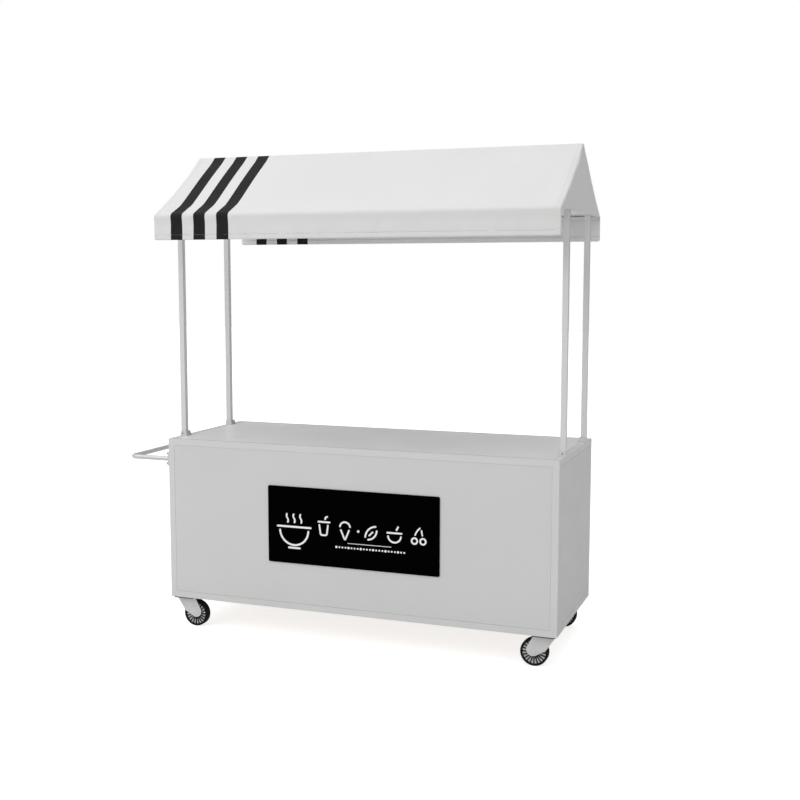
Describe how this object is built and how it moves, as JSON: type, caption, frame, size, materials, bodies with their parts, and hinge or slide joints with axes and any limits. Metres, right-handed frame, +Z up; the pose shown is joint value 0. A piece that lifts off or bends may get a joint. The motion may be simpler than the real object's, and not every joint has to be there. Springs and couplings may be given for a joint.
{
  "type": "push vending cart",
  "caption": "Push vending cart: closed white cabinet on swivel casters, counter, end push handle, black sign board, posts and a pitched fabric canopy with valances.",
  "frame": {"origin": "centre of the overall box on the floor, under the wheels", "axes": "+X along the cart away from the push handle, +Y from the customer side (sign board) to the vendor side (doors), +Z up"},
  "size_m": [2.137, 0.862, 2.2765],
  "materials": {
    "frame_paint": "satin powder coat",
    "panel_paint": "satin powder coat",
    "counter_laminate": "satin laminate",
    "plywood": "sealed birch plywood",
    "zinc_steel": "zinc plated",
    "bright_steel": "polished",
    "sign_black": "gloss acrylic face",
    "handle_steel": "satin",
    "post_paint": "satin powder coat",
    "socket_cast": "satin cast",
    "canopy_cloth": "coated woven polyester",
    "dark_zinc": "dark phosphate",
    "fork_steel": "satin zinc",
    "wheel_core": "moulded",
    "black_plastic": "moulded",
    "tyre_rubber": "moulded rubber"
  },
  "bodies": {
    "root": {"base_frame": "frame_paint", "top_frame": "frame_paint", "front_uprights": "frame_paint", "rear_uprights": "frame_paint", "front_panel": "panel_paint", "left_panel": "panel_paint", "right_panel": "panel_paint", "counter_panel": "counter_laminate", "counter_bearers": "frame_paint", "floor_board": "plywood", "shelf": "plywood", "shelf_cleats": "zinc_steel", "door_catches": "black_plastic", "hinge_frame_leaves": "zinc_steel", "hinge_pins": "zinc_steel", "sign_board": "sign_black", "handle_bar": "handle_steel", "handle_flanges": "handle_steel", "handle_bolts": "bright_steel", "post_front_left": "post_paint", "post_front_right": "post_paint", "post_rear_left": "post_paint", "post_rear_right": "post_paint", "post_sockets": "socket_cast", "set_screws": "zinc_steel", "eave_rails": "post_paint", "side_rails": "post_paint", "king_posts": "post_paint", "ridge_tube": "post_paint", "canopy_cover": "canopy_cloth", "caster_plates": "dark_zinc", "caster_bolts": "zinc_steel", "king_pins": "zinc_steel", "race_balls": "bright_steel"},
    "door_left": {"door_left": "panel_paint", "hinge_leaves_left": "zinc_steel", "pull_left": "bright_steel"},
    "door_right": {"door_right": "panel_paint", "hinge_leaves_right": "zinc_steel", "pull_right": "bright_steel"},
    "swivel_fl": {"fork_fl": "fork_steel", "axle_fl": "zinc_steel"},
    "wheel_fl": {"core_fl": "wheel_core", "caps_fl": "black_plastic", "tyre_fl": "tyre_rubber"},
    "swivel_fr": {"fork_fr": "fork_steel", "axle_fr": "zinc_steel"},
    "wheel_fr": {"core_fr": "wheel_core", "caps_fr": "black_plastic", "tyre_fr": "tyre_rubber"},
    "swivel_rl": {"fork_rl": "fork_steel", "axle_rl": "zinc_steel"},
    "wheel_rl": {"core_rl": "wheel_core", "caps_rl": "black_plastic", "tyre_rl": "tyre_rubber"},
    "swivel_rr": {"fork_rr": "fork_steel", "axle_rr": "zinc_steel"},
    "wheel_rr": {"core_rr": "wheel_core", "caps_rr": "black_plastic", "tyre_rr": "tyre_rubber"}
  },
  "joints": [
    {"name": "door_left_hinge", "type": "hinge", "parent": "root", "child": "door_left", "pos_m": [-0.8095, 0.3625, 0.5345], "axis": [0, 0, 1], "range_deg": [0, 110]},
    {"name": "door_right_hinge", "type": "hinge", "parent": "root", "child": "door_right", "pos_m": [1.0285, 0.3625, 0.5345], "axis": [0, 0, -1], "range_deg": [0, 110]},
    {"name": "swivel_turn_fl", "type": "hinge", "parent": "root", "child": "swivel_fl", "pos_m": [-0.7795, -0.3015, 0.1365], "axis": [0, 0, 1], "continuous": true},
    {"name": "wheel_spin_fl", "type": "hinge", "parent": "swivel_fl", "child": "wheel_fl", "pos_m": [-0.7315, -0.3015, 0.0625], "axis": [0, 1, 0], "continuous": true},
    {"name": "swivel_turn_fr", "type": "hinge", "parent": "root", "child": "swivel_fr", "pos_m": [0.9985, -0.3015, 0.1365], "axis": [0, 0, 1], "continuous": true},
    {"name": "wheel_spin_fr", "type": "hinge", "parent": "swivel_fr", "child": "wheel_fr", "pos_m": [0.9505, -0.3015, 0.0625], "axis": [0, 1, 0], "continuous": true},
    {"name": "swivel_turn_rl", "type": "hinge", "parent": "root", "child": "swivel_rl", "pos_m": [-0.7795, 0.3015, 0.1365], "axis": [0, 0, 1], "continuous": true},
    {"name": "wheel_spin_rl", "type": "hinge", "parent": "swivel_rl", "child": "wheel_rl", "pos_m": [-0.7315, 0.3015, 0.0625], "axis": [0, 1, 0], "continuous": true},
    {"name": "swivel_turn_rr", "type": "hinge", "parent": "root", "child": "swivel_rr", "pos_m": [0.9985, 0.3015, 0.1365], "axis": [0, 0, 1], "continuous": true},
    {"name": "wheel_spin_rr", "type": "hinge", "parent": "swivel_rr", "child": "wheel_rr", "pos_m": [0.9505, 0.3015, 0.0625], "axis": [0, 1, 0], "continuous": true}
  ]
}
